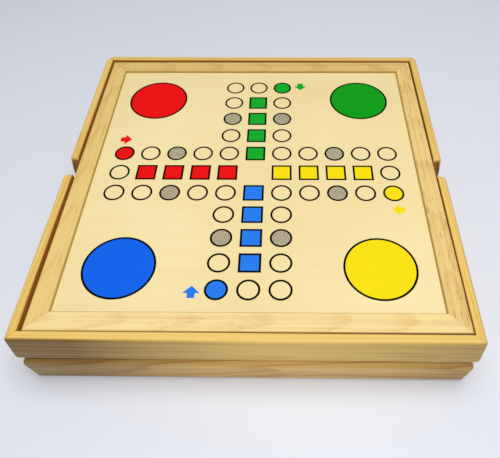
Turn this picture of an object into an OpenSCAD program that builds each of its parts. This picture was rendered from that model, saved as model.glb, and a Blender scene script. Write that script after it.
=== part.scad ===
// Folding game box: two mitred half trays hinged at the back, with a framed
// game board lying loose in the top of the upper half.
// X runs to the right, Y to the back, Z up; the origin is the middle of the underside.

/* [Case] */
// Width and depth of the case over the swell of its walls
case_size = 298; // [260:1:360]
// Height of each half
half_h = 29; // [27:0.5:40]
// Thickness of the wall wood at its swell
wall_t = 14; // [14:0.5:17]
// Radius that rounds the walls over at the parting line
parting_r = 7; // [5:0.5:8]
// Angle at which the outer faces lean in towards the rim
wall_lean = 3.6; // [0:0.1:9]
// Radius of the outer edge of the rim
rim_outer_r = 2; // [0.4:0.1:2.4]
// Radius of the inner edge of the rim
rim_inner_r = 0.8; // [0.3:0.1:1]

/* [Recess and panels] */
// Depth of the recess from the rim down to the deck
recess_d = 20; // [18:0.5:21]
// Thickness of the deck and of the floor plywood
ply_t = 3; // [2:0.5:3]
// Width of the step that the floor is glued into
floor_step = 4; // [3:0.5:6]
// Width of the strips that the board rests on
ledge_w = 8; // [5:0.5:12]

/* [Finger notches] */
// Length of each notch along its side wall
notch_l = 16; // [12:1:30]

/* [Board] */
// Width and depth of the framed board
board_size = 279.4; // [279:0.1:280]
// Play between the board and the recess, both sides together
board_play = 3.2; // [3:0.1:4]
// Thickness of the board's frame
board_t = 8; // [7:0.5:9]
// Visible width of the board's frame
rail_w = 13.9; // [10:0.1:20]
// Depth of the panel below the top of its frame
panel_drop = 2.2; // [1:0.1:3]
// Thickness of the board's panel
panel_t = 3; // [2:0.5:3]
// How far the board's top lies below the rim
board_sink = 0.2; // [0.1:0.1:1]
// Angle at which the loose board lies in its recess
board_turn = 0.2; // [0:0.05:0.2]
// How far the loose board lies to the right of the middle
board_right = 0.65; // [0:0.05:0.7]
// How far the loose board lies in front of the middle
board_front = 0.85; // [0:0.05:0.9]

/* [Hinges and magnets] */
// Length of each hinge
hinge_l = 30; // [24:1:40]
// Distance of each hinge from the middle of the back wall
hinge_x = 85; // [40:1:100]
// Outer diameter of the hinge knuckles
knuckle_d = 4.8; // [4:0.2:5]
// Diameter of the hinge pin
pin_d = 2; // [1.5:0.1:2.4]
// Distance of each closing magnet from the middle of the front wall
magnet_x = 60; // [20:1:110]
// Diameter of the closing magnets
magnet_d = 5; // [3:0.5:5]

/* [Hidden] */
$fn = 48;
half_case = case_size / 2;
wall_in = half_case - wall_t;
recess_half = (board_size + board_play) / 2;
recess_z = half_h - recess_d;
deck_z = recess_z - ply_t;

// A board that lies at rest in the recess
board_half = board_size / 2;
board_z = half_h - board_sink - board_t;
ledge_h = board_z - recess_z;
rail_outer_r = 1;
rail_inner_r = 1.6;
groove_d = 4;
groove_end_play = 0.5;
panel_top = board_t - panel_drop;
panel_half = board_half - rail_w + groove_d - groove_end_play;

// Hinges: the pin lies on the parting plane, just behind the swell of the walls
pin_y = half_case + 0.5;
leaf_t = 0.95;
mortise_d = 1;
mortise_play = 0.2;
leaf_edge_y = wall_in + 1.2;
leaf_plate_y = pin_y - knuckle_d / 2 - 0.5;
bore_play = 0.05;
knuckle_gap = 0.2;
pin_head_d = 3;
pin_head_t = 0.5;
screw_y = wall_in + 3.6;
screw_spread = 9;
screw_d = 1.8;
screw_l = 4.6;
screw_head_d = 3.4;
screw_head_h = 0.8;
screw_slot_w = 0.5;
screw_slot_d = 0.35;
screw_play = 0.05;

// Magnets are let into the front walls, flush with the parting faces
magnet_t = 2;
magnet_play = 0.05;
magnet_y = -(wall_in + 3.6);

// Points along an arc round c, from angle a0 to a1
function arc(c, r, a0, a1, steps) =
    [for (i = [0:steps]) c + r * [cos(a0 + (a1 - a0) * i / steps), sin(a0 + (a1 - a0) * i / steps)]];

// Section of a wall, with u outwards from the middle of the case and z from the
// parting face. The step at the far edge takes a panel or the recess.
module wall_section(step_u, step_d) {
    swell_c = [half_case - parting_r, parting_r];
    swell_end = swell_c + parting_r * [cos(wall_lean), sin(wall_lean)];
    rim_c_z = half_h - rim_outer_r;
    run = (rim_c_z - swell_end[1] + rim_outer_r * sin(wall_lean)) / cos(wall_lean);
    rim_c_u = swell_end[0] - run * sin(wall_lean) - rim_outer_r * cos(wall_lean);
    polygon(concat(
        [[wall_in, 0]],
        arc(swell_c, parting_r, -90, wall_lean, 14),
        arc([rim_c_u, rim_c_z], rim_outer_r, wall_lean, 90, 6),
        arc([step_u + rim_inner_r, half_h - rim_inner_r], rim_inner_r, 90, 180, 5),
        [[step_u, half_h - step_d], [wall_in, half_h - step_d]]
    ));
}

// Everything between two planes that meet the middle of the case at 45 degrees
module mitre_wedge(h) {
    linear_extrude(h) polygon([[0, 0], [case_size, -case_size], [case_size, case_size]]);
}

// A mitred bar along the right-hand side, standing up from z = 0
module mitred_bar(h) {
    intersection() {
        rotate([90, 0, 0]) linear_extrude(case_size, center = true) children();
        mitre_wedge(h);
    }
}

// turn: 0 right, 90 back, 180 left, 270 front
module upper_wall(turn) {
    translate([0, 0, half_h]) rotate([0, 0, turn])
        mitred_bar(half_h) wall_section(recess_half, recess_d + ply_t);
}

module lower_wall(turn) {
    translate([0, 0, half_h]) mirror([0, 0, 1]) rotate([0, 0, turn])
        mitred_bar(half_h) wall_section(wall_in + floor_step, ply_t);
}

// Room for a finger from the rim down to the deck
module finger_notch() {
    translate([-half_case - 1, -notch_l / 2, half_h + recess_z])
        cube([wall_t + 2, notch_l, recess_d + 1]);
}

// Runs the children at both hinges
module at_hinges() {
    for (x = [-hinge_x, hinge_x]) translate([x, 0, half_h]) children();
}

// Runs the children at the screws of one hinge
module at_screws() {
    for (x = [-screw_spread, screw_spread]) translate([x, screw_y, 0]) children();
}

// A hinge screw that points up, with its head level with the leaf's face;
// play widens it to the hole that it sits in
module screw_body(play) {
    cylinder(h = screw_head_h, r1 = screw_head_d / 2 + play, r2 = screw_d / 2 + play);
    cylinder(h = screw_l + play, r = screw_d / 2 + play);
}

module hinge_screw() {
    translate([0, 0, mortise_d - leaf_t]) difference() {
        screw_body(0);
        translate([-screw_head_d, -screw_slot_w / 2, -1]) cube([2 * screw_head_d, screw_slot_w, 1 + screw_slot_d]);
    }
}

// What a hinge takes out of a back wall above the parting plane
module hinge_mortise() {
    translate([-hinge_l / 2 - mortise_play, leaf_edge_y - mortise_play, -1])
        cube([hinge_l + 2 * mortise_play, half_case, 1 + mortise_d]);
    at_screws() translate([0, 0, mortise_d - leaf_t]) screw_body(screw_play);
}

// Two magnet pockets, open at the parting plane
module magnet_pair(play) {
    for (x = [-magnet_x, magnet_x])
        translate([x, magnet_y, -play]) cylinder(h = magnet_t + 2 * play, d = magnet_d + 2 * play);
}

// One hinge leaf above the parting plane. The spans are [start, end] along X
// of the knuckles that belong to it.
module hinge_leaf(spans) {
    difference() {
        union() {
            translate([-hinge_l / 2, leaf_edge_y, mortise_d - leaf_t])
                cube([hinge_l, leaf_plate_y - leaf_edge_y, leaf_t]);
            for (s = spans) {
                translate([s[0], leaf_plate_y - 1, mortise_d - leaf_t])
                    cube([s[1] - s[0], pin_y - leaf_plate_y + 1, leaf_t]);
                translate([s[0], pin_y, 0]) rotate([0, 90, 0]) cylinder(h = s[1] - s[0], d = knuckle_d);
            }
        }
        translate([-hinge_l, pin_y, 0]) rotate([0, 90, 0])
            cylinder(h = 2 * hinge_l, d = pin_d + 2 * bore_play);
        at_screws() translate([0, 0, mortise_d - leaf_t]) screw_body(screw_play);
    }
}

module lower_leaf() {
    third = hinge_l / 3;
    mirror([0, 0, 1]) hinge_leaf([
        [-hinge_l / 2, -hinge_l / 2 + third - knuckle_gap / 2],
        [hinge_l / 2 - third + knuckle_gap / 2, hinge_l / 2]
    ]);
}

module upper_leaf() {
    third = hinge_l / 3;
    hinge_leaf([[-hinge_l / 2 + third + knuckle_gap / 2, hinge_l / 2 - third - knuckle_gap / 2]]);
}

module hinge_pin() {
    translate([-hinge_l / 2, pin_y, 0]) rotate([0, 90, 0]) {
        cylinder(h = hinge_l, d = pin_d);
        translate([0, 0, -pin_head_t]) cylinder(h = pin_head_t, d = pin_head_d);
        translate([0, 0, hinge_l]) cylinder(h = pin_head_t, d = pin_head_d);
    }
}

// Section of a board rail, grooved on its inner edge for the panel
module rail_section() {
    rail_in = board_half - rail_w;
    polygon(concat(
        [[rail_in, 0], [board_half, 0]],
        arc([board_half - rail_outer_r, board_t - rail_outer_r], rail_outer_r, 0, 90, 5),
        arc([rail_in + rail_inner_r, board_t - rail_inner_r], rail_inner_r, 90, 180, 6),
        [
            [rail_in, panel_top],
            [rail_in + groove_d, panel_top],
            [rail_in + groove_d, panel_top - panel_t],
            [rail_in, panel_top - panel_t]
        ]
    ));
}

// Places the children as the board lies in its recess
module as_board_lies() {
    translate([board_right, -board_front, half_h + board_z]) rotate([0, 0, board_turn]) children();
}

module board_rail(turn) {
    as_board_lies() rotate([0, 0, turn]) mitred_bar(board_t) rail_section();
}

// Strip that the board rests on, along the front or back of the recess
module cross_ledge() {
    translate([-recess_half, recess_half - ledge_w, half_h + recess_z])
        cube([2 * recess_half, ledge_w, ledge_h]);
}

// Two strips along the left side, one on each side of the finger notch
module side_ledges() {
    strip_l = recess_half - ledge_w - notch_l / 2;
    for (y = [notch_l / 2, -notch_l / 2 - strip_l])
        translate([-recess_half, y, half_h + recess_z]) cube([ledge_w, strip_l, ledge_h]);
}

module lower_front_wall() {
    color("tan") difference() {
        lower_wall(270);
        translate([0, 0, half_h]) mirror([0, 0, 1]) magnet_pair(magnet_play);
    }
}

module lower_back_wall() {
    color("tan") difference() {
        lower_wall(90);
        at_hinges() mirror([0, 0, 1]) hinge_mortise();
    }
}

module lower_left_wall() {
    color("tan") lower_wall(180);
}

module lower_right_wall() {
    color("tan") lower_wall(0);
}

module floor_panel() {
    floor_size = 2 * (wall_in + floor_step);
    color("wheat") translate([-floor_size / 2, -floor_size / 2, 0]) cube([floor_size, floor_size, ply_t]);
}

module lower_magnets() {
    color("silver") translate([0, 0, half_h]) mirror([0, 0, 1]) magnet_pair(0);
}

module lower_hinge_screws() {
    color("gold") at_hinges() mirror([0, 0, 1]) at_screws() hinge_screw();
}

module upper_front_wall() {
    color("burlywood") difference() {
        upper_wall(270);
        translate([0, 0, half_h]) magnet_pair(magnet_play);
    }
}

module upper_back_wall() {
    color("burlywood") difference() {
        upper_wall(90);
        at_hinges() hinge_mortise();
    }
}

module upper_left_wall() {
    color("burlywood") difference() {
        upper_wall(180);
        finger_notch();
    }
}

module upper_right_wall() {
    color("burlywood") difference() {
        upper_wall(0);
        mirror([1, 0, 0]) finger_notch();
    }
}

module deck_panel() {
    color("wheat") translate([-recess_half, -recess_half, half_h + deck_z])
        cube([2 * recess_half, 2 * recess_half, ply_t]);
}

module upper_magnets() {
    color("silver") translate([0, 0, half_h]) magnet_pair(0);
}

module upper_hinge_screws() {
    color("gold") at_hinges() at_screws() hinge_screw();
}

module board_panel() {
    color("cornsilk") as_board_lies() translate([-panel_half, -panel_half, panel_top - panel_t])
        cube([2 * panel_half, 2 * panel_half, panel_t]);
}

lower_front_wall();
lower_back_wall();
lower_left_wall();
lower_right_wall();
floor_panel();
lower_magnets();
color("gold") translate([-hinge_x, 0, half_h]) lower_leaf();  // left_hinge_lower_leaf
color("gold") translate([hinge_x, 0, half_h]) lower_leaf();  // right_hinge_lower_leaf
color("goldenrod") translate([-hinge_x, 0, half_h]) hinge_pin();  // left_hinge_pin
color("goldenrod") translate([hinge_x, 0, half_h]) hinge_pin();  // right_hinge_pin
lower_hinge_screws();
upper_front_wall();
upper_back_wall();
upper_left_wall();
upper_right_wall();
deck_panel();
color("tan") mirror([0, 1, 0]) cross_ledge();  // front_ledge
color("tan") cross_ledge();  // back_ledge
color("tan") side_ledges();  // left_ledges
color("tan") mirror([1, 0, 0]) side_ledges();  // right_ledges
upper_magnets();
color("gold") translate([-hinge_x, 0, half_h]) upper_leaf();  // left_hinge_upper_leaf
color("gold") translate([hinge_x, 0, half_h]) upper_leaf();  // right_hinge_upper_leaf
upper_hinge_screws();
color("moccasin") board_rail(270);  // board_front_rail
color("moccasin") board_rail(90);  // board_back_rail
color("moccasin") board_rail(180);  // board_left_rail
color("moccasin") board_rail(0);  // board_right_rail
board_panel();
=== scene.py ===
import math

import bmesh
import bpy
from mathutils import Matrix, Vector


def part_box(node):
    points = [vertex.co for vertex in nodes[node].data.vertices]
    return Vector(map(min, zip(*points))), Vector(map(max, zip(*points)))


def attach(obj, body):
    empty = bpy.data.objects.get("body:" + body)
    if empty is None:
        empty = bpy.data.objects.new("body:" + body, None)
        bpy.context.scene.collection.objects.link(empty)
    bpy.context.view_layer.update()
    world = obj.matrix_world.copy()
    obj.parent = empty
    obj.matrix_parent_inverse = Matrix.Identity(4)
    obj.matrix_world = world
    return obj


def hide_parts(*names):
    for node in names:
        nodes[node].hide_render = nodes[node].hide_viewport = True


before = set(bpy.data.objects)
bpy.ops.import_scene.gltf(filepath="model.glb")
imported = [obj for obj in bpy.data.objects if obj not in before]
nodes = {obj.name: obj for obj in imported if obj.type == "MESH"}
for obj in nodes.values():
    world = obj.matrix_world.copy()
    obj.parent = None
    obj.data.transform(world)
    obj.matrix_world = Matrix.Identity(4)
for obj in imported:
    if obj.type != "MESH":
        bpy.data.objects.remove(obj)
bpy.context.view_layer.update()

MM = 0.001
QUARTER = math.pi / 2

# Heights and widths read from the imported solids, in metres
HALF_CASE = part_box("lower_right_wall")[1][0]
PARTING_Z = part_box("lower_right_wall")[1][2]
RIM_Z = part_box("upper_right_wall")[1][2]
HALF_H = RIM_Z - PARTING_Z
DECK_LOW, DECK_HIGH = (corner[2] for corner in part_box("deck_panel"))
RECESS_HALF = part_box("deck_panel")[1][0]
FLOOR_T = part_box("floor_panel")[1][2]
FLOOR_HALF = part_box("floor_panel")[1][0]
RAIL_LOW, RAIL_HIGH = (corner[2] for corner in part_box("board_right_rail"))
BOARD_T = RAIL_HIGH - RAIL_LOW
PANEL_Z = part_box("board_panel")[1][2]

# Section of the walls, as the solids have it
WALL_T = 14 * MM
PARTING_R = 7 * MM
WALL_LEAN = math.radians(3.6)
RIM_OUTER_R = 2 * MM
RIM_INNER_R = 0.8 * MM
NOTCH_L = 16 * MM
NOTCH_LIP_R = 3 * MM

# How far the right-hand wall or rail is turned to make each side, in degrees, and the
# direction in which the grain then runs
SIDES = {"right": 0, "back": 90, "left": 180, "front": 270}
GRAIN = {"right": "Y", "back": "X", "left": "Y", "front": "X"}

# The sanded radius and the open joint at each corner; each wall runs anticlockwise between two
CORNERS = {
    "front_right": (1.6 * MM, 0.08 * MM), "back_right": (4 * MM, 0.08 * MM),
    "back_left": (7.5 * MM, 0.22 * MM), "front_left": (1.6 * MM, 0.08 * MM),
}
WALL_ENDS = {
    "right": ("front_right", "back_right"), "back": ("back_right", "back_left"),
    "left": ("back_left", "front_left"), "front": ("front_left", "front_right"),
}
CORNER_STEPS = 8
OUTER_SKIN = 2 * MM
EASED_WALL = 0.35 * MM
EASED_RAIL = 0.15 * MM

# Section and place of the loose board, which lies slightly askew in its recess
BOARD_HALF = 139.7 * MM
RAIL_W = 13.9 * MM
RAIL_OUTER_R = 1 * MM
RAIL_INNER_R = 1.6 * MM
RAIL_JOINT = 0.02 * MM
GROOVE_D = 4 * MM
PANEL_T = 3 * MM
BOARD_PLACE = (Matrix.Translation((0.65 * MM, -0.85 * MM, RAIL_LOW))
               @ Matrix.Rotation(math.radians(0.2), 4, "Z"))

# The printed track: its grid pitch, where its middle lies on the panel, and the ink's thickness
# above the wood and below its surface
PITCH = 21.2 * MM
PRINT_SHIFT = (-0.62 * MM, -2.80 * MM)
FIELD_R = 0.376 * PITCH
SQUARE_HALF = 0.37 * PITCH
YARD_R = 1.19 * PITCH
YARD_AT = 4.182
OUTLINE_W = 1.5 * MM
SCREEN_GAP = 0.8 * MM
INK_T = 0.035 * MM
INK_BED = 0.1 * MM
FIELD_POINTS = 48
YARD_POINTS = 128

# One quarter of the track, in grid pitches from the middle; the others are turned copies
FIELDS = [(-5, 0)] + [(x, 1) for x in range(-5, 0)] + [(-1, y) for y in range(2, 6)]
START_FIELD = (-5, 1)
SCREENED_FIELDS = ((-3, 1), (-1, 3))
HOME_ROW = [(x, 0) for x in range(-4, 0)]

# Distances under which points count as one
TOUCH = 0.001 * MM
SECTION_MERGE = 0.03 * MM
CARVED_MERGE = 0.01 * MM
SLIVER = 0.005 * MM
INK_MERGE = 0.0001 * MM


def srgb(r, g, b):
    """A display colour, 0 to 255, as a linear colour with alpha."""
    def linear(c):
        c /= 255
        return c / 12.92 if c <= 0.04045 else ((c + 0.055) / 1.055) ** 2.4
    return (linear(r), linear(g), linear(b), 1.0)


# Tones of the pine: painted shade mixed with darker wood towards the ends, flecks, knots, end
# grain, and painted shade in the gaps and recesses
ENDS_SHADE_AND_TONE = srgb(94, 62, 6)
FLECK_TONE = srgb(166, 112, 50)
KNOT_TONE = srgb(150, 92, 36)
END_TONES = (srgb(172, 142, 96), srgb(96, 72, 40))
# Colour of the painted shade in the gaps and recesses
RECESS_SHADE_TONE = srgb(184, 118, 30)

# Darkness across one growth ring, from early wood to late wood
RING = [(0.0, 0.1), (0.6, 0.3), (0.84, 1.0), (0.92, 0.9), (0.97, 0.2), (1.0, 0.1)]


class Nodes:
    """Short calls that add shader nodes to one material."""

    def __init__(self, name):
        self.mat = bpy.data.materials.new(name)
        self.mat.use_nodes = True
        self.tree = self.mat.node_tree
        self.bsdf = self.tree.nodes["Principled BSDF"]

    def add(self, kind, settings=None, **sockets):
        node = self.tree.nodes.new("ShaderNode" + kind)
        for key, value in (settings or {}).items():
            setattr(node, key, value)
        for key, value in sockets.items():
            self.put(node.inputs[key], value)
        return node

    def put(self, socket, value):
        if isinstance(value, bpy.types.NodeSocket):
            self.tree.links.new(value, socket)
        else:
            socket.default_value = value

    def math(self, operation, a, b=0.0, clamp=False):
        node = self.add("Math", {"operation": operation, "use_clamp": clamp})
        self.put(node.inputs[0], a)
        self.put(node.inputs[1], b)
        return node.outputs[0]

    def plus(self, a, b, clamp=False):
        return self.math("ADD", a, b, clamp)

    def minus(self, a, b):
        return self.math("SUBTRACT", a, b)

    def times(self, a, b, clamp=False):
        return self.math("MULTIPLY", a, b, clamp)

    def vary(self, base, figure, middle, amount, clamp=False):
        """The base, raised and lowered by a figure round its middle."""
        return self.plus(base, self.times(self.minus(figure, middle), amount), clamp)

    def noise(self, vector, scale, detail=2.0, roughness=0.5, distortion=0.0):
        node = self.add("TexNoise", None, Vector=vector, Scale=scale, Detail=detail,
                        Roughness=roughness, Distortion=distortion)
        return node.outputs["Fac"]

    def grain(self, space, across, along, detail=2.0, roughness=0.5, distortion=0.0):
        """Noise drawn out along X, with so many waves in a metre across and along."""
        drawn = self.add("Mapping", None, Vector=space, Scale=(along, across, across))
        return self.noise(drawn.outputs["Vector"], 1.0, detail, roughness, distortion)

    def ramp(self, factor, stops):
        node = self.add("ValToRGB", None, Fac=factor)
        elements = node.color_ramp.elements
        while len(elements) < len(stops):
            elements.new(0.5)
        for element, (place, value) in zip(elements, stops):
            element.position = place
            element.color = (value, value, value, 1.0)
        return node.outputs["Color"]

    def rise(self, value, low, high):
        """0 up to low and 1 from high on."""
        return self.ramp(value, [(low, 0.0), (high, 1.0)])

    def mix(self, factor, a, b):
        node = self.add("Mix", {"data_type": "RGBA"})
        self.put(node.inputs[0], factor)
        self.put(node.inputs[6], a)
        self.put(node.inputs[7], b)
        return node.outputs[2]

    def set(self, **sockets):
        for key, value in sockets.items():
            self.put(self.bsdf.inputs[key.replace("_", " ")], value)

    def bump(self, height, strength, distance):
        node = self.add("Bump", None, Height=height, Strength=strength, Distance=distance)
        self.put(self.bsdf.inputs["Normal"], node.outputs["Normal"])


def grain_space(n, along, seed):
    """Object coordinates with the grain turned to X and shifted to a fresh piece of wood."""
    coord = n.add("TexCoord").outputs["Object"]
    turn = 0.0 if along == "X" else math.radians(-90)
    node = n.add("Mapping", None, Vector=coord, Rotation=(0, 0, turn),
                 Location=(seed * 1.37, seed * 0.61, seed * 0.29))
    return node.outputs["Vector"]


def growth_rings(n, space, parts, slow, ring_gap, wobble, pith, tilt):
    """Darkness of growth rings, ring_gap mm apart, round a pith that runs along the piece."""
    sway = n.times(n.minus(slow, 0.5), wobble)
    offsets = []
    for axis, middle, slope in zip("YZ", pith, tilt):
        offset = n.plus(n.minus(parts.outputs[axis], middle), sway)
        offsets.append(n.plus(offset, n.times(parts.outputs["X"], slope)))
    y, z = offsets
    radius = n.math("SQRT", n.plus(n.times(y, y), n.times(z, z)))
    uneven = n.grain(space, 60.0, 3.0, 2.0, 0.6)
    phase = n.plus(n.times(radius, 1 / (ring_gap * MM)), uneven)
    return n.ramp(n.math("FRACT", phase), RING)


def end_shade_and_tone_mask(n, parts, streak, facing):
    """How much painted shade, mixed with darker wood, an upright face gets: more towards its ends
    and most at the left.
    """
    least_shaded_x = 20 * MM
    off_middle = n.math("ABSOLUTE", n.minus(parts.outputs["X"], least_shaded_x))
    leftwards = n.times(parts.outputs["X"], 0.2)
    far = n.math("DIVIDE", n.minus(off_middle, leftwards), HALF_CASE, clamp=True)
    end_shade_and_tone_amount = n.times(n.plus(n.times(streak, 0.5), 0.75), n.math("POWER", far, 1.5))
    return n.times(end_shade_and_tone_amount, n.ramp(facing, [(0.0, 1.0), (0.8, 1.0), (0.98, 0.0)]))


def wood(name, along, seed, light, dark, ring_gap=4.5, ring_depth=0.5, fleck_depth=0.0,
         knot_depth=0.0, gloss=0.38, wobble=0.010, pith=(0.045, -0.06), tilt=(0.0, 0.0),
         end_shade_and_tone=0.0, edge_shade=None, recess_shade_tone=RECESS_SHADE_TONE):
    """Lacquered softwood; the edge argument is an amount and a colour of painted shade for the
    rounded edges, and the end argument an amount of painted shade mixed with darker wood towards
    the ends.
    """
    n = Nodes(name)
    space = grain_space(n, along, seed)
    parts = n.add("SeparateXYZ", None, Vector=grain_space(n, along, 0.0))
    normal = n.add("SeparateXYZ", None, Vector=n.add("TexCoord").outputs["Normal"])
    facing = n.math("ABSOLUTE", normal.outputs["Z"])
    end = n.add("Attribute", {"attribute_name": "end_grain"}).outputs["Fac"]
    painted_recess_shade = n.add("Attribute", {"attribute_name": "painted_recess_shade"}).outputs["Fac"]

    slow = n.grain(space, 9.0, 2.2)
    streak = n.grain(space, 360.0, 4.5, 3.0, 0.6)
    fibre = n.grain(space, 900.0, 14.0, 3.0, 0.65)
    pores = n.grain(space, 2200.0, 60.0, 2.0, 0.6)
    late = growth_rings(n, space, parts, slow, ring_gap, wobble, pith, tilt)
    depth = n.times(late, ring_depth)
    depth = n.vary(depth, fibre, 0.5, 0.7)
    depth = n.vary(depth, streak, 0.5, 1.7)
    depth = n.vary(depth, slow, 0.42, 0.5, clamp=True)
    colour = n.mix(depth, light, dark)

    # Painted shade on the rounded edges, where they turn to face sideways
    if edge_shade:
        amount, tone = edge_shade
        rounded = n.ramp(facing, [(0.0, 0.0), (0.1, 0.0), (0.4, 1.0), (0.93, 0.0)])
        colour = n.mix(n.times(rounded, amount), colour, tone)
    # Painted shade, partly darker wood, on the front walls towards their ends and most at the left
    if end_shade_and_tone:
        end_shade_and_tone_amount = end_shade_and_tone_mask(n, parts, streak, facing)
        colour = n.mix(n.times(end_shade_and_tone_amount, end_shade_and_tone, clamp=True), colour, ENDS_SHADE_AND_TONE)
    if fleck_depth:
        speck = n.grain(space, 1000.0, 125.0, 1.0, 0.5, 0.4)
        patch = n.grain(space, 40.0, 25.0, 1.0)
        speck = n.rise(n.vary(speck, patch, 0.5, 0.35), 0.62, 0.70)
        colour = n.mix(n.times(speck, fleck_depth), colour, FLECK_TONE)
    if knot_depth:
        knot = n.rise(n.grain(space, 55.0, 11.0, 1.0, 0.4, 0.8), 0.6, 0.78)
        colour = n.mix(n.times(knot, knot_depth), colour, KNOT_TONE)
    end_depth = n.plus(n.times(pores, 0.7), n.times(late, 0.4), clamp=True)
    colour = n.mix(end, colour, n.mix(end_depth, *END_TONES))
    # Painted shade on the inward faces of the gaps and recesses, uneven along the streaks
    uneven_recess_shade = n.plus(n.times(streak, 0.3), 0.7)
    colour = n.mix(n.times(painted_recess_shade, uneven_recess_shade), colour, recess_shade_tone)

    rough = n.plus(n.times(fibre, 0.18), n.times(end, 0.25))
    n.set(Base_Color=colour, Roughness=n.plus(rough, gloss - 0.09), IOR=1.45,
          Specular_IOR_Level=0.22, Coat_Weight=0.04, Coat_Roughness=0.3)
    relief = n.plus(n.times(fibre, 0.6), n.times(late, 0.3))
    n.bump(n.minus(relief, n.times(n.times(pores, end), 0.8)), 0.35, 0.12 * MM)
    return n.mat


def veneer_fibre(n, space):
    return n.grain(space, 700.0, 22.0, 3.0, 0.6)


def plywood(name, seed, light, dark, gloss):
    """Pale rotary-cut face veneer: broad soft figure, fine short pores."""
    n = Nodes(name)
    space = grain_space(n, "X", seed)
    broad = n.grain(space, 16.0, 3.5, 3.0, 0.55, 0.6)
    figure = n.math("FRACT", n.times(broad, 7.0))
    figure = n.ramp(figure, [(0.0, 0.3), (0.5, 0.0), (0.85, 0.8), (1.0, 0.3)])
    fibre = veneer_fibre(n, space)
    cloud = n.noise(space, 9.0)
    depth = n.plus(n.times(figure, 0.12), n.times(fibre, 0.5))
    depth = n.vary(depth, cloud, 0.5, 1.1, clamp=True)
    n.set(Base_Color=n.mix(depth, light, dark), IOR=1.47, Coat_Weight=0.2, Coat_Roughness=0.25,
          Roughness=n.plus(n.times(fibre, 0.16), gloss - 0.08))
    n.bump(fibre, 0.22, 0.08 * MM)
    return n.mat


def ink(name, colour, shade, shine=0.3):
    """Printing ink on veneer: solid, with the faint mottle of the wood below."""
    n = Nodes(name)
    space = grain_space(n, "X", 0.0)
    fibre = veneer_fibre(n, space)
    cloud = n.noise(space, 60.0, 2.0, 0.6)
    depth = n.plus(n.times(fibre, 0.5), n.times(cloud, 0.35), clamp=True)
    n.set(Base_Color=n.mix(depth, colour, shade), IOR=1.3, Specular_IOR_Level=shine,
          Roughness=n.plus(n.times(fibre, 0.15), 0.5))
    n.bump(fibre, 0.2, 0.06 * MM)
    return n.mat


def halftone(name, paper, dots):
    """A fine screen of diagonal lines, both ways, printed on the veneer."""
    n = Nodes(name)
    space = n.add("TexCoord").outputs["Object"]
    parts = n.add("SeparateXYZ", None, Vector=space)
    x, y = parts.outputs["X"], parts.outputs["Y"]
    turning = 2 * math.pi / (SCREEN_GAP * math.sqrt(2))
    lines = [n.math("SINE", n.times(n.math(way, x, y), turning)) for way in ("ADD", "SUBTRACT")]
    both = n.plus(n.times(n.math("MAXIMUM", *lines), 0.5), 0.5)
    fibre = veneer_fibre(n, space)
    uneven = n.plus(n.times(fibre, 0.3), 0.75)
    inked = n.times(n.rise(both, 0.70, 0.80), uneven, clamp=True)
    n.set(Base_Color=n.mix(inked, paper, dots), IOR=1.3, Specular_IOR_Level=0.3,
          Roughness=n.plus(n.times(fibre, 0.15), 0.42))
    n.bump(fibre, 0.2, 0.06 * MM)
    return n.mat


def metal(name, colour, tarnish, scratches, roughness):
    """Plated metal, clouded with tarnish and brushed in one direction."""
    n = Nodes(name)
    space = n.add("TexCoord").outputs["Object"]
    cloud = n.rise(n.noise(space, 260.0, 3.0, 0.6), 0.3, 0.75)
    brushed = n.grain(space, scratches, 90.0, 3.0, 0.6)
    n.set(Base_Color=n.mix(cloud, colour, tarnish), Metallic=1.0,
          Roughness=n.plus(n.times(brushed, 0.2), roughness))
    n.bump(brushed, 0.25, 0.03 * MM)
    return n.mat


def arc(centre, radius, start, end, steps):
    """Points round a centre, angles in radians."""
    angles = [start + (end - start) * i / steps for i in range(steps + 1)]
    return [(centre[0] + radius * math.cos(a), centre[1] + radius * math.sin(a)) for a in angles]


def wall_section(step_u, step_d):
    """Section of a wall as (outwards, away from the parting face), in metres.

    The step at step_u, step_d deep, takes the deck or the floor.
    """
    wall_in = HALF_CASE - WALL_T
    swell = (HALF_CASE - PARTING_R, PARTING_R)
    swell_end = (swell[0] + PARTING_R * math.cos(WALL_LEAN),
                 swell[1] + PARTING_R * math.sin(WALL_LEAN))
    rim_z = HALF_H - RIM_OUTER_R
    run = (rim_z - swell_end[1] + RIM_OUTER_R * math.sin(WALL_LEAN)) / math.cos(WALL_LEAN)
    rim_u = swell_end[0] - run * math.sin(WALL_LEAN) - RIM_OUTER_R * math.cos(WALL_LEAN)
    inner = (step_u + RIM_INNER_R, HALF_H - RIM_INNER_R)
    return (
        [(wall_in, 0.0)]
        + arc(swell, PARTING_R, -QUARTER, WALL_LEAN, 28)
        + arc((rim_u, rim_z), RIM_OUTER_R, WALL_LEAN, QUARTER, 10)
        + arc(inner, RIM_INNER_R, QUARTER, 2 * QUARTER, 8)
        + [(step_u, HALF_H - step_d), (wall_in, HALF_H - step_d)]
    )


def rail_section():
    """Section of a board rail as (outwards, up from the board's underside), in metres."""
    rail_in = BOARD_HALF - RAIL_W
    groove_top = PANEL_Z - RAIL_LOW
    groove_low = groove_top - PANEL_T
    outer = (BOARD_HALF - RAIL_OUTER_R, BOARD_T - RAIL_OUTER_R)
    inner = (rail_in + RAIL_INNER_R, BOARD_T - RAIL_INNER_R)
    return (
        [(rail_in, 0.0), (BOARD_HALF, 0.0)]
        + arc(outer, RAIL_OUTER_R, 0, QUARTER, 8)
        + arc(inner, RAIL_INNER_R, QUARTER, 2 * QUARTER, 10)
        + [(rail_in, groove_top), (rail_in + GROOVE_D, groove_top)]
        + [(rail_in + GROOVE_D, groove_low), (rail_in, groove_low)]
    )


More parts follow.
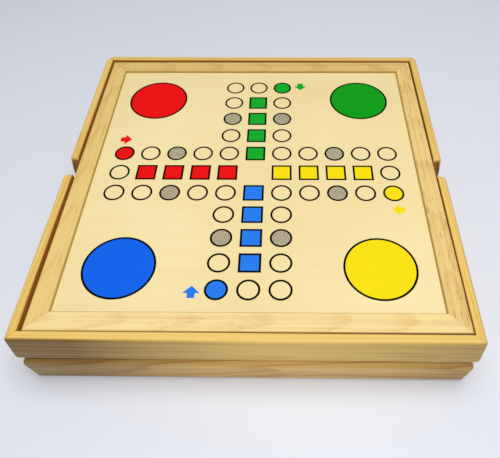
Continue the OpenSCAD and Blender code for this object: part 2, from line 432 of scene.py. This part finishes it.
def mitred_mesh(section, corners, square_to=0.0):
    """A bar along the right-hand side with mitred ends, each with its sanding and open joint.

    The rounding fades out from the outer face to square_to, so that the recess keeps square
    corners.
    """
    bm = bmesh.new()
    full_at = max(u for u, z in section) - OUTER_SKIN
    rows = []
    for end, (corner_r, joint_gap) in zip((-1, 1), corners):
        turns = [0.0]
        if corner_r:
            turns = [math.pi / 4 * k / CORNER_STEPS for k in range(CORNER_STEPS + 1)]
        for turn in turns if end > 0 else reversed(turns):
            row = []
            for u, z in section:
                r = corner_r * min(1.0, max(0.0, (u - square_to) / (full_at - square_to)))
                out = u - r + r * math.cos(turn)
                along = min(u - r + r * math.sin(turn), out - joint_gap)
                row.append(bm.verts.new((out, end * along, z)))
            rows.append(row)
    count = len(section)
    for low, high in zip(rows, rows[1:]):
        for k in range(count):
            m = (k + 1) % count
            bm.faces.new((low[k], low[m], high[m], high[k]))
    bm.faces.new(reversed(rows[0]))
    bm.faces.new(rows[-1])
    bmesh.ops.remove_doubles(bm, verts=bm.verts, dist=SECTION_MERGE)
    bmesh.ops.recalc_face_normals(bm, faces=bm.faces)
    return bm


def add_block(bm, low, high):
    for v in bmesh.ops.create_cube(bm, size=1.0)["verts"]:
        v.co = Vector(high[k] if v.co[k] > 0 else low[k] for k in range(3))


def mesh_from(name, bm):
    """Keeps bm as a mesh and frees it."""
    me = bpy.data.meshes.new(name)
    bm.to_mesh(me)
    bm.free()
    return me


def new_object(name, data):
    made = bpy.data.objects.new(name, data)
    bpy.context.scene.collection.objects.link(made)
    return made


def make(name, bm, material, body):
    """A piece of the part that rides on a body."""
    piece = new_object(name, mesh_from(name, bm))
    piece.data.materials.append(material)
    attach(piece, body)
    return piece


def apply_modifiers(piece):
    depsgraph = bpy.context.evaluated_depsgraph_get()
    done = bpy.data.meshes.new_from_object(piece.evaluated_get(depsgraph))
    piece.modifiers.clear()
    piece.data = done


def clean_mesh(piece):
    """Merges the points that carving and bevelling leave on top of each other."""
    bm = bmesh.new()
    bm.from_mesh(piece.data)
    bmesh.ops.remove_doubles(bm, verts=bm.verts, dist=CARVED_MERGE)
    bmesh.ops.dissolve_degenerate(bm, edges=bm.edges, dist=SLIVER)
    bm.to_mesh(piece.data)
    bm.free()


def ease_edges(piece, width):
    """Breaks the sharp edges as sandpaper does, and shades the rest smooth."""
    bevel = piece.modifiers.new("eased", "BEVEL")
    bevel.width = width
    bevel.segments = 2
    bevel.limit_method = "ANGLE"
    bevel.angle_limit = math.radians(40)
    apply_modifiers(piece)
    clean_mesh(piece)
    piece.data.polygons.foreach_set("use_smooth", [True] * len(piece.data.polygons))
    piece.data.set_sharp_from_angle(angle=math.radians(38))
    weighted = piece.modifiers.new("flat_faces", "WEIGHTED_NORMAL")
    weighted.keep_sharp = True
    apply_modifiers(piece)


def mark_faces(piece, along, depth):
    """Faces square across the grain look like end grain; those that face inwards get painted shade,
    as shade falls in the gaps and recesses.
    """
    axis = "XY".index(along)
    marks = {"end_grain": [], "painted_recess_shade": []}
    for face in piece.data.polygons:
        square_on = abs(face.normal[axis]) > 0.9
        inwards = face.center.xy.dot(face.normal.xy) < 0
        marks["end_grain"].append(1.0 if square_on else 0.0)
        # Painted shade on faces inside the gaps and recesses, most on upright ones
        marks["painted_recess_shade"].append(min(1.0, depth * (1.0 - abs(face.normal.z))) if inwards else 0.0)
    for key, values in marks.items():
        piece.data.attributes.new(key, "FLOAT", "FACE").data.foreach_set("value", values)


def carve(piece, bm):
    """Cuts the closed solids in bm out of a piece."""
    cutter = new_object("cutter", mesh_from("cutter", bm))
    boolean = piece.modifiers.new("carved", "BOOLEAN")
    boolean.object = cutter
    boolean.operation = "DIFFERENCE"
    boolean.solver = "EXACT"
    apply_modifiers(piece)
    bpy.data.objects.remove(cutter)
    clean_mesh(piece)


def magnet_pockets(half):
    """Two round pockets a hair wider and deeper than the magnets."""
    low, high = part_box(half + "_magnets")
    radius = (high[1] - low[1]) / 2
    play = 0.08 * MM
    bm = bmesh.new()
    for x in (low[0] + radius, high[0] - radius):
        place = Matrix.Translation((x, (low[1] + high[1]) / 2, PARTING_Z))
        bmesh.ops.create_cone(bm, cap_ends=True, segments=48, radius1=radius + play,
                              radius2=radius + play, depth=2 * (high[2] - low[2] + play),
                              matrix=place)
    return bm


def hinge_mortises(half):
    """Two shallow seats, open behind, for the hinge leaves."""
    play, depth = 0.2 * MM, 1 * MM
    bm = bmesh.new()
    for hinge in ("left", "right"):
        low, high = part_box(f"{hinge}_hinge_{half}_leaf")
        add_block(bm, (low[0] - play, low[1] - play, PARTING_Z - depth),
                  (high[0] + play, HALF_CASE + MM, PARTING_Z + depth))
    return bm


def cut_notch(piece, side):
    """A finger notch down to the deck, rounded where it meets the outer face."""
    sign = 1 if side == "right" else -1
    near, far = sorted((sign * (HALF_CASE - WALL_T - MM), sign * (HALF_CASE + MM)))
    bm = bmesh.new()
    add_block(bm, (near, -NOTCH_L / 2, DECK_HIGH), (far, NOTCH_L / 2, RIM_Z + MM))
    carve(piece, bm)

    def on_lip(v):
        on_cheek = abs(abs(v.co.y) - NOTCH_L / 2) < TOUCH and v.co.z > DECK_HIGH + TOUCH
        return on_cheek and sign * v.co.x > RECESS_HALF + TOUCH

    bm = bmesh.new()
    bm.from_mesh(piece.data)
    lip = [e for e in bm.edges if all(on_lip(v) for v in e.verts)]
    bmesh.ops.bevel(bm, geom=lip, offset=NOTCH_LIP_R, segments=6, profile=0.5, affect="EDGES")
    bm.to_mesh(piece.data)
    bm.free()


def turned_to(side):
    return Matrix.Rotation(math.radians(SIDES[side]), 4, "Z")


def make_wall(half, side, material):
    """One wall of a half; the lower half is the upper one turned upside down."""
    if half == "upper":
        section, way_up = wall_section(RECESS_HALF, RIM_Z - DECK_LOW), 1
    else:
        section, way_up = wall_section(FLOOR_HALF, FLOOR_T), -1
    corners = [CORNERS[corner] for corner in WALL_ENDS[side]]
    bm = mitred_mesh(section, corners, RECESS_HALF + RIM_INNER_R)
    place = (Matrix.Translation((0, 0, PARTING_Z)) @ Matrix.Scale(way_up, 4, (0, 0, 1))
             @ turned_to(side))
    bmesh.ops.transform(bm, matrix=place, verts=bm.verts)
    bmesh.ops.recalc_face_normals(bm, faces=bm.faces)
    node = f"{half}_{side}_wall"
    piece = make(node + "_wood", bm, material, half + "_half")
    if half == "upper" and side in ("left", "right"):
        cut_notch(piece, side)
    if side == "front":
        carve(piece, magnet_pockets(half))
    if side == "back":
        carve(piece, hinge_mortises(half))
    ease_edges(piece, EASED_WALL)
    mark_faces(piece, GRAIN[side], 1.0)
    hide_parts(node)


def make_rail(side, material):
    bm = mitred_mesh(rail_section(), [(0.0, RAIL_JOINT)] * 2)
    bmesh.ops.transform(bm, matrix=BOARD_PLACE @ turned_to(side), verts=bm.verts)
    node = f"board_{side}_rail"
    piece = make(node + "_wood", bm, material, "game_board")
    ease_edges(piece, EASED_RAIL)
    mark_faces(piece, GRAIN[side], 2.5)
    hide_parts(node)


def add_face(bm, points, flipped):
    bm.faces.new([bm.verts.new(p) for p in (reversed(points) if flipped else points)])


def add_plate(bm, outline, top, hole=None):
    """A thin slab of ink with its underside in the wood; outline and hole run the same way."""
    low = -INK_BED
    for loop in (outline, hole) if hole else (outline,):
        for a, b in zip(loop, loop[1:] + loop[:1]):
            add_face(bm, [(*a, low), (*b, low), (*b, top), (*a, top)], loop is hole)
    for z, underside in ((top, False), (low, True)):
        if not hole:
            add_face(bm, [(*p, z) for p in outline], underside)
            continue
        for k in range(len(outline)):
            m = (k + 1) % len(outline)
            band = [(*outline[k], z), (*outline[m], z), (*hole[m], z), (*hole[k], z)]
            add_face(bm, band, underside)


def circle_points(centre, radius, count):
    return [(centre[0] + radius * math.cos(2 * math.pi * k / count),
             centre[1] + radius * math.sin(2 * math.pi * k / count)) for k in range(count)]


def square_points(centre, half):
    return [(centre[0] + half * x, centre[1] + half * y)
            for x, y in ((-1, -1), (1, -1), (1, 1), (-1, 1))]


def on_grid(point, turns):
    """A point of the first quarter, in grid pitches, turned to a later quarter, in metres."""
    x, y = point
    for _ in range(turns):
        x, y = y, -x
    return (PITCH * x, PITCH * y)


def arrow_points(turns):
    """A short block arrow that shows where a colour starts."""
    tail, neck, tip = -5.30, -5.125, -4.86
    lane, shaft_half, head_half = 1.765, 0.12, 0.272
    shape = [
        (tail, lane - shaft_half), (neck, lane - shaft_half), (neck, lane - head_half), (tip, lane),
        (neck, lane + head_half), (neck, lane + shaft_half), (tail, lane + shaft_half),
    ]
    return [on_grid(p, turns) for p in shape]


def print_track():
    """The cross of fields, home rows, yards and arrows, one quarter for each colour."""
    colours = ("red", "green", "yellow", "blue")
    lighter = {"green": "leaf_green", "blue": "sky_blue"}
    meshes = {key: bmesh.new() for key in (*colours, *lighter.values(), "black", "screen")}

    def outlined(key, points, reach):
        """A figure in one ink, or bare without a key, inside its black outline."""
        if key:
            add_plate(meshes[key], points(reach - OUTLINE_W / 2), INK_T)
        add_plate(meshes["black"], points(reach), 2 * INK_T, points(reach - OUTLINE_W))

    for turns, colour in enumerate(colours):
        small_colour = lighter.get(colour, colour)
        for field in FIELDS:
            key = "screen" if field in SCREENED_FIELDS else None
            key = small_colour if field == START_FIELD else key
            centre = on_grid(field, turns)
            outlined(key, lambda r: circle_points(centre, r, FIELD_POINTS), FIELD_R)
        for field in HOME_ROW:
            centre = on_grid(field, turns)
            outlined(small_colour, lambda r: square_points(centre, r), SQUARE_HALF)
        yard = on_grid((-YARD_AT, YARD_AT), turns)
        outlined(colour, lambda r: circle_points(yard, r, YARD_POINTS), YARD_R)
        add_plate(meshes[small_colour], arrow_points(turns), INK_T)

    materials = {
        "red": ink("ink_red", srgb(244, 6, 2), srgb(226, 2, 0)),
        "green": ink("ink_green", srgb(4, 164, 20), srgb(0, 146, 12)),
        "yellow": ink("ink_yellow", srgb(252, 230, 0), srgb(240, 214, 0)),
        "blue": ink("ink_blue", srgb(2, 104, 242), srgb(0, 90, 224)),
        "leaf_green": ink("ink_leaf_green", srgb(14, 180, 44), srgb(6, 160, 32)),
        "sky_blue": ink("ink_sky_blue", srgb(36, 130, 242), srgb(26, 114, 228)),
        "black": ink("ink_black", srgb(12, 5, 1), srgb(5, 2, 0), shine=0.02),
        "screen": halftone("ink_screen", srgb(236, 222, 186), srgb(24, 20, 18)),
    }
    place = BOARD_PLACE @ Matrix.Translation((*PRINT_SHIFT, PANEL_Z - RAIL_LOW))
    for key, bm in meshes.items():
        bmesh.ops.remove_doubles(bm, verts=bm.verts, dist=INK_MERGE)
        bmesh.ops.recalc_face_normals(bm, faces=bm.faces)
        bmesh.ops.transform(bm, matrix=place, verts=bm.verts)
        make("print_" + key, bm, materials[key], "game_board")


def make_woodwork():
    """The walls of both halves and the rails, each cut from its own piece of pine.

    The pith of a wall lies inside the case and that of a rail under its middle, both
    measured across the grain, so the rings show as long lines on the faces.
    """
    golden = (srgb(240, 202, 112), srgb(196, 148, 60))
    tan = (srgb(244, 202, 116), srgb(188, 128, 48))
    cream = {
        "front": (srgb(248, 222, 156), srgb(222, 178, 104)),
        "back": (srgb(228, 196, 120), srgb(192, 150, 76)),
        "left": (srgb(238, 206, 130), srgb(206, 160, 84)),
        "right": (srgb(240, 208, 136), srgb(208, 164, 88)),
    }
    seeds = {"front": 3.0, "back": 5.0, "left": 7.0, "right": 11.0}
    for side, seed in seeds.items():
        along = GRAIN[side]
        lateral = 1 if side in ("back", "left") else -1
        at_front = side == "front"
        wall_pith = lateral * (HALF_CASE - 40 * MM)
        rail_pith = lateral * (BOARD_HALF - RAIL_W / 2 - 2 * MM)
        # The rounded edges get painted shade; the front walls get painted shade mixed with darker
        # wood towards their ends
        upper = wood(
            f"rim_pine_{side}", along, seed, *golden,
            ring_gap=2.6, ring_depth=0.24 if at_front else 0.42, wobble=0.012,
            pith=(wall_pith, PARTING_Z + 10 * MM), tilt=(lateral * 0.02, 0.01),
            end_shade_and_tone=0.8 if at_front else 0.0, knot_depth=0.0 if at_front else 0.35,
            edge_shade=None if at_front else (0.9, srgb(136, 106, 38)),
        )
        lower = wood(
            f"base_pine_{side}", along, seed + 20, *tan,
            ring_gap=3.2, ring_depth=0.6, wobble=0.022,
            pith=(wall_pith, PARTING_Z - 8 * MM), tilt=(lateral * 0.03, 0.01),
            end_shade_and_tone=0.7 if at_front else 0.0, knot_depth=0.35,
            edge_shade=(0.1, srgb(168, 100, 26)),
        )
        frame_wood = wood(
            f"frame_pine_{side}", along, seed + 40, *cream[side],
            ring_gap=3.4, ring_depth=0.32,
            pith=(rail_pith, RAIL_LOW - 26 * MM), tilt=(0.01, 0.07),
            fleck_depth=0.55 if side == "right" else 0.14, recess_shade_tone=srgb(176, 146, 62),
        )
        make_wall("upper", side, upper)
        make_wall("lower", side, lower)
        make_rail(side, frame_wood)


def dress_cad_nodes():
    """Materials for the nodes that keep the solids' own shape."""
    ply = plywood("inner_ply", 2.0, srgb(232, 208, 158), srgb(204, 170, 116), 0.55)
    face = plywood("board_veneer", 4.0, srgb(249, 232, 174), srgb(238, 210, 143), 0.42)
    planed = (srgb(228, 194, 130), srgb(190, 146, 84))
    cleat = wood("cleat_pine", "X", 31.0, *planed, gloss=0.6)
    side_cleat = wood("side_cleat_pine", "Y", 33.0, *planed, gloss=0.6)
    brass = metal("hinge_brass", srgb(226, 186, 104), srgb(176, 134, 66), 1500.0, 0.25)
    nickel = metal("magnet_nickel", srgb(206, 206, 210), srgb(166, 166, 172), 1800.0, 0.2)
    looks = {
        "deck_panel": ply, "floor_panel": ply, "board_panel": face,
        "front_ledge": cleat, "back_ledge": cleat,
        "left_ledges": side_cleat, "right_ledges": side_cleat,
    }
    for name, node in nodes.items():
        if "hinge" in name:
            looks[name] = brass
        elif "magnets" in name:
            looks[name] = nickel
        if name in looks:
            for material_slot in node.material_slots:
                material_slot.material = looks[name]


def make_floor():
    """The white table, matt and nearly even."""
    n = Nodes("table_white")
    space = n.add("TexCoord").outputs["Object"]
    cloud = n.noise(space, 3.0, 3.0)
    n.set(Base_Color=n.mix(cloud, srgb(226, 231, 244), srgb(234, 239, 251)), Roughness=0.6)
    n.bump(n.noise(space, 900.0, 2.0, 0.6), 0.1, 0.1 * MM)
    table_half = 4.0
    bm = bmesh.new()
    add_face(bm, [(*p, 0.0) for p in square_points((0.0, 0.0), table_half)], False)
    table = new_object("table", mesh_from("table", bm))
    table.data.materials.append(n.mat)


def area_light(name, place, target, size, power):
    data = bpy.data.lights.new(name, "AREA")
    data.shape = "DISK"
    data.size = size
    data.energy = power
    data.color = (1.0, 0.985, 0.96)
    light = new_object(name, data)
    light.location = place
    aim = Vector(target) - Vector(place)
    light.rotation_euler = aim.to_track_quat("-Z", "Y").to_euler()


def light_studio():
    """A pale room, a broad lamp above and a weak one in front."""
    world = bpy.data.worlds.new("soft_room")
    bpy.context.scene.world = world
    world.use_nodes = True
    background = world.node_tree.nodes["Background"]
    background.inputs["Color"].default_value = (0.92, 0.95, 1.0, 1.0)
    background.inputs["Strength"].default_value = 0.30
    area_light("ceiling", (0.10, -0.16, 1.15), (0.02, -0.06, 0.0), size=0.9, power=10.4)
    area_light("front_fill", (0.08, -0.75, 0.22), (0.04, -0.15, 0.03), size=0.3, power=0.35)
    bpy.context.scene.view_settings.view_transform = "Standard"


def add_camera():
    """The photograph's own viewpoint, worked out from the printed grid, in its 500 x 458 frame."""
    image_w = 500
    focal_px = 506.8
    middle_px = 278.9
    data = bpy.data.cameras.new("photo_view")
    data.sensor_width = 36.0
    data.lens = data.sensor_width * focal_px / image_w
    data.shift_x = (image_w / 2 - middle_px) / image_w
    data.clip_start = 0.01
    camera = new_object("photo_view", data)
    camera.location = (0.02435, -0.27995, 0.34334)
    camera.rotation_euler = [math.radians(a) for a in (37.50, 0.32, 0.75)]
    bpy.context.scene.camera = camera


add_camera()
make_woodwork()
print_track()
dress_cad_nodes()
make_floor()
light_studio()
